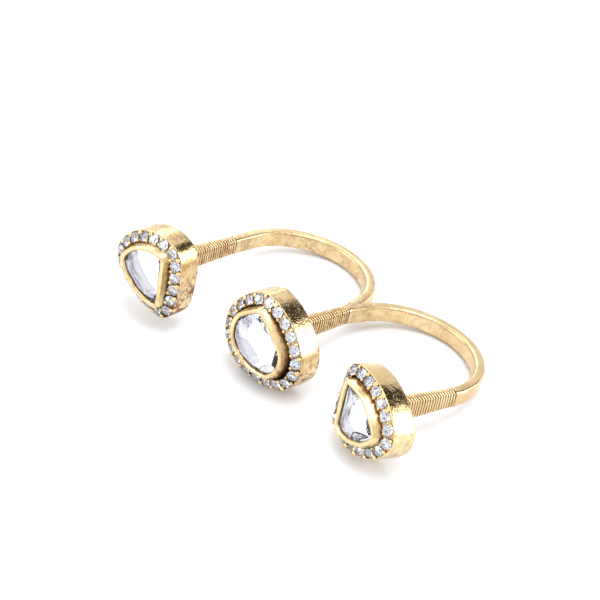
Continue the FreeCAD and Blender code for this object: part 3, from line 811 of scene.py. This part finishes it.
def set_halo(head, seed):
    """The brilliants of one head."""
    places, axes = halo_seats(head)
    points = working_mesh("halo_points", places, vectors={"axis": axes})
    run_tree(points, set_on_points, {"Piece": brilliant_shape, "Unevenness": 0.01, "Lean": 0.1,
                                     "Seed": seed, "Finish": small_stone})
    finished(points, "small_stones_" + head, head_frame(head), small_stone,
             ["halo_stones_" + head], 0.0)


def raise_grains(head, seed):
    """The two rows of grains between the brilliants of one head."""
    for row in GRAINS:
        places, axes = [], []
        ring = outline(RIMS[head], row["inset"], row["level"])
        for point, along in evenly(ring, HEADS[head]["halo"], BETWEEN_STONES):
            places.append(point + uneven(point, size=0.4, amount=0.06))
            axes.append(UP + along.cross(UP) * GRAIN_TILT)
        points = working_mesh("grain_points", places, vectors={"axis": axes})
        sized = grain_shape.copy()
        sized.data = grain_shape.data.copy()
        sized.data.transform(Matrix.Scale(row["radius"], 4))
        bpy.context.collection.objects.link(sized)
        run_tree(points, set_on_points, {"Piece": sized, "Unevenness": 0.35, "Lean": 0.3,
                                         "Seed": seed, "Finish": grain_gold})
        finished_gold(points, "%s_grains_%s" % (row["name"], head), head_frame(head), grain_gold,
                      smooth_below=60.0)
        bpy.data.objects.remove(sized)


for number, head in enumerate(HEADS):
    set_halo(head, STONE_SEED + number)
    raise_grains(head, GRAIN_SEED + number)

# %% [markdown]
# ## The big stones
# A cutter grinds flat facets on a rough slab until it suits the bezel, so no two are alike. The
# same works on a mesh: start with a slab of the bezel's inner outline, cut it with one plane
# after another, throw away what is outside, and close the cut with a flat face. Each stone has a
# row of facets round its crown, a few flat ones round the table, and broad ones below.

# %% Big stones
STONE_GAP = 0.05
GIRDLE_LEVEL = 0.98
GIRDLE_HIGH = 0.12
TABLE_LEVEL = 1.46
BASE_LEVEL = -0.28
FOIL_OUTSIDE = BEZEL_WALL + 0.005
FOIL_INSIDE = BEZEL_WALL + 0.025
FOIL_BASE = 0.04
FOIL_RISE = 0.02
CHANCE_GAIN = 2.2
INDEX_STEP = 1.37
SEED_STEP = 0.61
FACETS = {
    "left": {"crown": 9, "top": 4, "back": 6, "seed": 2.3},
    "middle": {"crown": 10, "top": 5, "back": 7, "seed": 7.1},
    "right": {"crown": 9, "top": 4, "back": 6, "seed": 4.6},
}
# First and stray are in steps round the stone, and slope and spread in degrees. A facet reaches
# its level at reach of the way out, and draws are where its random numbers start.
GRINDS = (
    {"kind": "crown", "first": 0.0, "stray": 0.3, "slope": 38, "spread": 6,
     "reach": 1.0, "level": GIRDLE_LEVEL, "draws": (0, 20)},
    {"kind": "top", "first": 0.5, "stray": 0.3, "slope": 13, "spread": 4,
     "reach": 0.42, "level": TABLE_LEVEL, "draws": (40, 60)},
    {"kind": "back", "first": 0.0, "stray": 0.35, "slope": -40, "spread": -8,
     "reach": 1.0, "level": GIRDLE_LEVEL - GIRDLE_HIGH, "draws": (80, 90)},
)


def grind(mesh, place, normal):
    """Grind one flat facet on a closed mesh."""
    parts = mesh.verts[:] + mesh.edges[:] + mesh.faces[:]
    cut = bmesh.ops.bisect_plane(mesh, geom=parts, plane_co=place, plane_no=normal, dist=1e-5,
                                 clear_outer=True)["geom_cut"]
    rim = [item for item in cut if isinstance(item, bmesh.types.BMEdge)]
    if len(rim) > 2:
        bmesh.ops.edgeloop_fill(mesh, edges=rim)


def chance(seed, index):
    """A fixed random number between -1 and 1, read from the noise."""
    drawn = noise.noise(Vector((seed, index * INDEX_STEP, seed * SEED_STEP)))
    return max(-1.0, min(1.0, CHANCE_GAIN * drawn))


def big_stone(head):
    """The stone of one head, ground facet by facet from a slab of its outline."""
    slab = outline(BEZELS[head], BEZEL_WALL + STONE_GAP, spacing=0.45)
    middle = sum(slab, Vector()) / len(slab)
    rings = [[point + UP * level for point in slab] for level in (BASE_LEVEL, TABLE_LEVEL)]
    stone = shell("slab", rings, [0.0, 0.0])
    mesh = bmesh.new()
    mesh.from_mesh(stone.data)
    seed = FACETS[head]["seed"]
    for row in GRINDS:
        count = FACETS[head][row["kind"]]
        for index in range(count):
            stray = row["stray"] * chance(seed, index + row["draws"][0])
            turn = 2 * math.pi * (index + row["first"] + stray) / count
            slope = row["slope"] + row["spread"] * chance(seed, index + row["draws"][1])
            steep = math.radians(abs(slope))
            outward = Vector((math.cos(turn), math.sin(turn), 0))
            rim = max((point - middle).dot(outward) for point in slab)
            place = middle + outward * rim * row["reach"] + UP * row["level"]
            facing_up = UP * math.cos(steep) * math.copysign(1, slope)
            grind(mesh, place, outward * math.sin(steep) + facing_up)
    bmesh.ops.recalc_face_normals(mesh, faces=mesh.faces)
    mesh.to_mesh(stone.data)
    mesh.free()
    finished(stone, "big_stone_" + head, head_frame(head), clear_stone,
             ["main_stone_" + head], 0.0)


def foil_cup(head):
    """The bright foil under a big stone: a shallow dish inside the bezel."""
    low, high = BASE_LEVEL - STONE_GAP, GIRDLE_LEVEL + FOIL_RISE
    rows = [(FOIL_OUTSIDE, low - FOIL_BASE, 0.0), (FOIL_OUTSIDE, high, 0.1),
            (FOIL_INSIDE, high, 0.1), (FOIL_INSIDE, low, 0.0)]
    dish = stacked("foil", BEZELS[head], rows, size=0.8, amount=0.0, spacing=0.3)
    finished(dish, "foil_" + head, head_frame(head), foil, ["main_stone_" + head],
             30.0)


for head in HEADS:
    big_stone(head)
    foil_cup(head)

# %% [markdown]
# ## The finger loops
# Each loop is a flat bar bent round a finger. Its middle line is a straight leg, an arc and a
# short run to where both loops meet behind the middle neck. A bar along a line is one Curve to
# Mesh: the line comes as a chain of points, and a small rounded rectangle is swept along it.
# Grime from the soldering clings near both ends of each bar, so the chain's points carry a darker
# value there.

# %% Bar tree
def bar_tree():
    """Sweep a rounded rectangle along a chain of points."""
    tree, source, result = new_group(
        "bend_bar", "GeometryNodeTree",
        [("Geometry", "Geometry", None), ("Thickness", "Float", 1.38), ("Width", "Float", 2.2),
         ("Edge Radius", "Float", 0.3), ("Finish", "Material", None)],
        [("Geometry", "Geometry")])
    given = source.outputs
    line = node(tree, "GeometryNodeMeshToCurve", {"Mesh": given["Geometry"]})
    level = node(tree, "GeometryNodeSetCurveNormal", {"Curve": line.outputs[0]}, mode="Z_UP")
    section = node(tree, "GeometryNodeCurvePrimitiveQuadrilateral",
                   {"Width": given["Thickness"], "Height": given["Width"]})
    eased = node(tree, "GeometryNodeFilletCurve",
                 {"Curve": section.outputs[0], "Radius": given["Edge Radius"], "Count": 4},
                 mode="POLY")
    swept = node(tree, "GeometryNodeCurveToMesh",
                 {"Curve": level.outputs[0], "Profile Curve": eased.outputs[0], "Fill Caps": True})
    end_tree(tree, swept.outputs[0], given["Finish"], result)
    return tree


bend_bar = bar_tree()

# %% Finger loops
LOOP_PITCH = 19.63
BAND_THICK = 1.38
BAND_WIDE = 2.2
BAND_EDGE = 0.34
# Bore is the radius of the hole, and outer and inner say how far its arc goes in degrees, from
# straight back to the leg on one side and to the run on the other. Leg and run are lengths.
LOOPS = {
    "left": {"hand": -1, "bore": 8.45, "back": 0.0, "inner": 73.5, "outer": 91.0,
             "leg": 3.35, "run": 3.3},
    "right": {"hand": 1, "bore": 8.86, "back": -0.35, "inner": 78.0, "outer": 92.0,
              "leg": 0.3, "run": 2.35},
}


def loop_line(row, step=3.0):
    """The middle line of a loop, from the end of its leg to the junction; step is in degrees."""
    hand = row["hand"]
    centre = Vector((hand * LOOP_PITCH / 2, row["back"], 0))
    radius = row["bore"] + BAND_THICK / 2

    def at(turn):
        angle = math.radians(turn)
        return centre + Vector((hand * math.sin(angle), math.cos(angle), 0)) * radius

    def ahead(turn):
        angle = math.radians(turn)
        return Vector((hand * math.cos(angle), -math.sin(angle), 0))

    sweep = row["outer"] + row["inner"]
    count = math.ceil(sweep / step)
    turns = [row["outer"] - sweep * index / count for index in range(count + 1)]
    leg = [at(row["outer"]) + ahead(row["outer"]) * row["leg"] * share for share in (1.0, 0.5)]
    run = [at(-row["inner"]) - ahead(-row["inner"]) * row["run"] * share for share in (0.5, 1.0)]
    return leg + [at(turn) for turn in turns] + run


GRIME = 0.35
GRIME_REACH = 4.0

for side, row in LOOPS.items():
    line = loop_line(row)
    chain = [(index, index + 1) for index in range(len(line) - 1)]
    from_ends = [min((point - line[0]).length, (point - line[-1]).length) for point in line]
    grime = [GRIME * max(0.0, 1.0 - distance / GRIME_REACH) for distance in from_ends]
    bar = working_mesh("loop", line, edges=chain, floats={"recess": grime})
    run_tree(bar, bend_bar, {"Thickness": BAND_THICK, "Width": BAND_WIDE, "Edge Radius": BAND_EDGE,
                             "Finish": band_gold})
    finished_gold(bar, "finger_loop_" + side, Matrix.Identity(4), band_gold, smooth_below=35.0)

# %% [markdown]
# ## The necks
# A tapered neck joins each head to the band and grows from the band towards the head. It can
# hardly be seen under its wire, so it is a plain loft between two rounded rectangles, darkened all
# over as painted shade between the turns, with patina. Solder fills the corner between the end of
# the band and the first turn of wire.

# %% Neck measurements
NECKS = {
    "left": {"start": (-18.9, -3.53, 0), "turn": 3.0},
    "middle": {"start": (-0.05, -0.8, 0), "turn": 1.2},
    "right": {"start": (19.35, -1.03, 0), "turn": -7.2},
}
WIRE = 0.4
WRAP_GAP = 0.04
WRAP_START = (1.5, 2.4)
WRAP_END = (2.0, 3.15)
WRAP_CORNER = 0.6
NECK_ROOT = 0.6


def neck_frame(head):
    """A neck's own frame: its start, with Z along it towards the head."""
    return Matrix.Translation(NECKS[head]["start"]) @ facing(NECKS[head]["turn"])


def neck_length(head):
    """How far it is along a neck to the flat back of its cup."""
    normal = (head_frame(head).to_3x3() @ UP).normalized()
    back = Vector(HEADS[head]["place"]) - normal * CUP_DEPTH
    along = (neck_frame(head).to_3x3() @ UP).normalized()
    return (back - Vector(NECKS[head]["start"])).dot(normal) / along.dot(normal)


def slant_room(head):
    """How far the wire stops short of a cup whose back isn't square to the neck."""
    aslant = math.radians(HEADS[head]["turn"] - NECKS[head]["turn"])
    tilted = math.radians(HEADS[head]["tilt"])
    return WRAP_END[0] / 2 * abs(math.tan(aslant)) + WRAP_END[1] / 2 * abs(math.tan(tilted))


def rounded_section(wide, high, corner, level, steps=4):
    """A rounded rectangle about Z."""
    points = []
    for index, (x, y) in enumerate(((1, 1), (-1, 1), (-1, -1), (1, -1))):
        for step in range(steps + 1):
            angle = math.radians(90 * index + 90 * step / steps)
            points.append(Vector((x * (wide / 2 - corner) + corner * math.cos(angle),
                                  y * (high / 2 - corner) + corner * math.sin(angle), level)))
    return points

# %% Necks
SOLDER_EDGE = BAND_EDGE + 0.1
# The solder is a little darkened, with patina and painted shade.
SOLDER_SHADE_AND_PATINA = 0.15
# Grown is how much wider and higher than the band the solder is, at a level along the neck.
SOLDER_ROWS = (
    {"grown": -0.12, "level": -1.5},
    {"grown": 0.05, "level": -0.5},
    {"grown": 0.09, "level": 0.0},
    {"grown": 0.09, "level": 0.42},
)


def neck(head):
    """The plain neck inside the wire of one head."""
    inset = WIRE + WRAP_GAP
    corner = WRAP_CORNER - inset
    ends = ((WRAP_START, -NECK_ROOT), (WRAP_END, neck_length(head) + NECK_ROOT))
    rings = [rounded_section(wide - 2 * inset, high - 2 * inset, corner, level)
             for (wide, high), level in ends]
    # Darkened all over: painted shade between the turns of wire, with patina.
    core = shell("neck", rings, [1.0] * len(rings))
    finished_gold(core, "neck_" + head, neck_frame(head), wire_gold)


def solder(head):
    """The solder between the band and the first turn of wire of one neck."""
    rings = [rounded_section(BAND_THICK + row["grown"], BAND_WIDE + row["grown"], SOLDER_EDGE,
                             row["level"]) for row in SOLDER_ROWS]
    fill = shell("solder", rings, [SOLDER_SHADE_AND_PATINA] * len(rings))
    finished_gold(fill, "solder_" + head, neck_frame(head), band_gold, smooth_below=60.0)


for head in HEADS:
    neck(head)
    solder(head)

# %% [markdown]
# ## The wound wire
# Round wire is wound tightly on each neck, turn against turn. Its path is a spiral that follows a
# rounded rectangle, which grows from the band to the head. Geometry Nodes read the same place on
# the small and on the large rectangle, mix the two by how far along the neck the wire has come,
# and let each turn stray a little, because it was wound by hand. The flanks of each turn, which
# face its neighbours, are darkened, so that painted shade, with some patina, draws a dark line
# between the turns.

# %% Winding tree
def winding_tree():
    """Wind round wire on a tapered neck along Z."""
    tree, source, result = new_group(
        "wind_wire", "GeometryNodeTree",
        [("Geometry", "Geometry", None), ("Turns", "Int", 28), ("Steps", "Int", 28),
         ("Length", "Float", 10.0), ("Wire", "Float", 0.4), ("Start Width", "Float", 1.0),
         ("Start Height", "Float", 2.0), ("End Width", "Float", 1.5), ("End Height", "Float", 2.5),
         ("Corner", "Float", 0.4), ("Stray", "Float", 0.05), ("Seed", "Float", 1.0),
         ("Finish", "Material", None)],
        [("Geometry", "Geometry")])
    given = source.outputs
    total = math_node(tree, "MULTIPLY", given["Turns"], given["Steps"])
    chain = node(tree, "GeometryNodeMeshLine", {"Count": total})
    index = tree.nodes.new("GeometryNodeInputIndex").outputs[0]
    share = math_node(tree, "DIVIDE", index, math_node(tree, "SUBTRACT", total, 1.0))
    turn = math_node(tree, "DIVIDE", index, given["Steps"])
    phase = math_node(tree, "FRACT", turn)
    ends = []
    for end in ("Start", "End"):
        section = node(tree, "GeometryNodeCurvePrimitiveQuadrilateral",
                       {"Width": given[end + " Width"], "Height": given[end + " Height"]})
        eased = node(tree, "GeometryNodeFilletCurve",
                     {"Curve": section.outputs[0], "Radius": given["Corner"], "Count": 6},
                     mode="POLY")
        sampled = node(tree, "GeometryNodeSampleCurve",
                       {"Curves": eased.outputs[0], "Factor": phase}, mode="FACTOR")
        ends.append(sampled.outputs["Position"])
    flat = node(tree, "ShaderNodeMix", {0: share, 4: ends[0], 5: ends[1]}, data_type="VECTOR")
    rise = math_node(tree, "MULTIPLY", share, given["Length"])
    lifted = node(tree, "ShaderNodeCombineXYZ", {"Z": rise})
    place = vector_node(tree, "ADD", flat.outputs[1], lifted.outputs[0])
    wander = node(tree, "ShaderNodeTexNoise", {"W": math_node(tree, "ADD", turn, given["Seed"]),
                                               "Scale": 1.3, "Detail": 1.0}, noise_dimensions="1D")
    centred = vector_node(tree, "SUBTRACT", wander.outputs["Color"], (0.5, 0.5, 0.5))
    strayed = vector_node(tree, "ADD", place, scaled(tree, centred, given["Stray"]))
    wound = node(tree, "GeometryNodeSetPosition", {"Geometry": chain.outputs[0],
                                                   "Position": strayed})
    line = node(tree, "GeometryNodeMeshToCurve", {"Mesh": wound.outputs[0]})
    here = tree.nodes.new("GeometryNodeInputPosition").outputs[0]
    marked = node(tree, "GeometryNodeStoreNamedAttribute",
                  {"Geometry": line.outputs[0], "Name": "middle", "Value": here},
                  data_type="FLOAT_VECTOR", domain="POINT")
    half = math_node(tree, "MULTIPLY", given["Wire"], 0.5)
    round_section = node(tree, "GeometryNodeCurvePrimitiveCircle",
                         {"Resolution": 12, "Radius": half})
    wire = node(tree, "GeometryNodeCurveToMesh",
                {"Curve": marked.outputs[0], "Profile Curve": round_section.outputs[0],
                 "Fill Caps": True})
    # The flanks that face the next turns are darkened: painted shade between the turns, with
    # patina.
    aside = vector_node(tree, "SUBTRACT", here, stored_vector(tree, "middle"))
    along = node(tree, "ShaderNodeSeparateXYZ", {"Vector": aside}).outputs["Z"]
    flank = math_node(tree, "DIVIDE", math_node(tree, "ABSOLUTE", along), half)
    shaded = node(tree, "GeometryNodeStoreNamedAttribute",
                  {"Geometry": wire.outputs[0], "Name": "recess",
                   "Value": ramp(tree, flank, 0.4, 0.9, 0.0, 0.85)},
                  data_type="FLOAT", domain="POINT")
    end_tree(tree, shaded.outputs[0], given["Finish"], result)
    return tree


wind_wire = winding_tree()

# %% Wound wires
WIRE_PITCH = 0.42
WIRE_THICK = 0.93 * WIRE
WIRE_STRAY = 0.08
WIRE_SEED = 5.0
WIRE_SEED_STEP = 7.0


def wound_wire(head, seed):
    """The wire on one neck."""
    first = WRAP_GAP + WIRE / 2
    length = neck_length(head) - slant_room(head) - 2 * first
    turns = round(length / WIRE_PITCH)
    wire = working_mesh("wire", [(0, 0, 0)])
    run_tree(wire, wind_wire, {
        "Turns": turns, "Length": length, "Wire": WIRE_THICK,
        "Start Width": WRAP_START[0] - WIRE, "Start Height": WRAP_START[1] - WIRE,
        "End Width": WRAP_END[0] - WIRE, "End Height": WRAP_END[1] - WIRE,
        "Corner": WRAP_CORNER - WIRE / 2, "Stray": WIRE_STRAY, "Seed": seed, "Finish": wire_gold})
    placement = neck_frame(head) @ Matrix.Translation((0, 0, first))
    finished(wire, "wound_wire_" + head, placement, wire_gold, ["wire_wrap_" + head], 60.0)
    print("turns on the %s neck: %d" % (head, turns))


for number, head in enumerate(HEADS):
    wound_wire(head, WIRE_SEED + WIRE_SEED_STEP * number)

for shape in small_shapes:
    bpy.data.objects.remove(shape)

# %% [markdown]
# ## The floor
# The ring lies on plain white paper. The sheet is so large that its edges stay out of the
# picture, and its tone wavers very faintly, as paper's does.

# %% Floor
floor_material, paper, paper_shader = new_material(
    "white_paper", {"Roughness": 0.9, "Specular IOR Level": 0.1})
paper_place = paper.nodes.new("ShaderNodeTexCoord").outputs["Object"]
paper_tone = mixed(paper, noise_value(paper, paper_place, 900.0),
                   (0.86, 0.875, 0.9, 1), (0.89, 0.905, 0.93, 1))
paper.links.new(paper_tone, paper_shader.inputs["Base Color"])

FLOOR_HALF = 3.0
sheet = [(x * FLOOR_HALF, y * FLOOR_HALF, 0) for x, y in ((-1, -1), (1, -1), (1, 1), (-1, 1))]
floor = working_mesh("floor", sheet, [(0, 1, 2, 3)])
floor.data.materials.append(floor_material)

# %% [markdown]
# ## The light
# Gold shows what is round it more than its own colour. The studio is white all round, apart from
# a dark stretch at the back, about a third of the way up, which is what the dark patches on the
# upper right of each cup mirror. A low window at the back whitens the middle of each cup, a big
# soft light from above gives the pale shadows, and weak ones at the side and in front fill them.

# %% Studio
DARK_WAY = (0.09, 0.855, 0.505)
DARK_STARTS, DARK_FULL = 0.948, 0.97
STUDIO_WHITE = (0.98, 0.98, 1.0, 1)
STUDIO_DARK = (0.035, 0.032, 0.028, 1)

world = bpy.data.worlds.new("studio")
bpy.context.scene.world = world
world.use_nodes = True
sky = world.node_tree
backdrop = sky.nodes["Background"]
ray = sky.nodes.new("ShaderNodeTexCoord").outputs["Generated"]
near_dark = node(sky, "ShaderNodeVectorMath", {0: ray, 1: Vector(DARK_WAY).normalized()},
                 operation="DOT_PRODUCT").outputs["Value"]
shade = ramp(sky, near_dark, DARK_STARTS, DARK_FULL)
sky.links.new(mixed(sky, shade, STUDIO_WHITE, STUDIO_DARK), backdrop.inputs["Color"])
backdrop.inputs["Strength"].default_value = 1.0

# %% Soft lights
LIGHTS = (
    {"name": "top_light", "place": (0.1, 0.1, 0.9), "wide": 0.6, "high": 0.6, "power": 4.0},
    {"name": "side_light", "place": (-0.7, 0.5, 0.5), "wide": 0.5, "high": 0.5, "power": 2.0},
    {"name": "front_light", "place": (-0.45, -0.6, 0.3), "wide": 0.5, "high": 0.4, "power": 2.0},
    {"name": "window_light", "place": (0.52, 0.7, 0.24), "wide": 0.5, "high": 0.46, "power": 2.8},
)


def soft_light(name, place, wide, high, power):
    """A soft light that looks at the ring; its place and size are in metres."""
    data = bpy.data.lights.new(name, "AREA")
    data.shape = "RECTANGLE"
    data.size = wide
    data.size_y = high
    data.energy = power
    light = bpy.data.objects.new(name, data)
    bpy.context.collection.objects.link(light)
    light.location = place
    light.rotation_euler = (-Vector(place)).to_track_quat("-Z", "Y").to_euler()


for row in LIGHTS:
    soft_light(**row)
print("lights", [row["name"] for row in LIGHTS])
bpy.context.scene.view_settings.view_transform = "Standard"

# %% [markdown]
# ## Finish
# The dressed ring must not outgrow its CAD model. The count of pieces and of their faces is
# printed.

# %% Counts of pieces and faces
print("pieces", len(pieces), "faces", sum(len(piece.data.polygons) for piece in pieces))
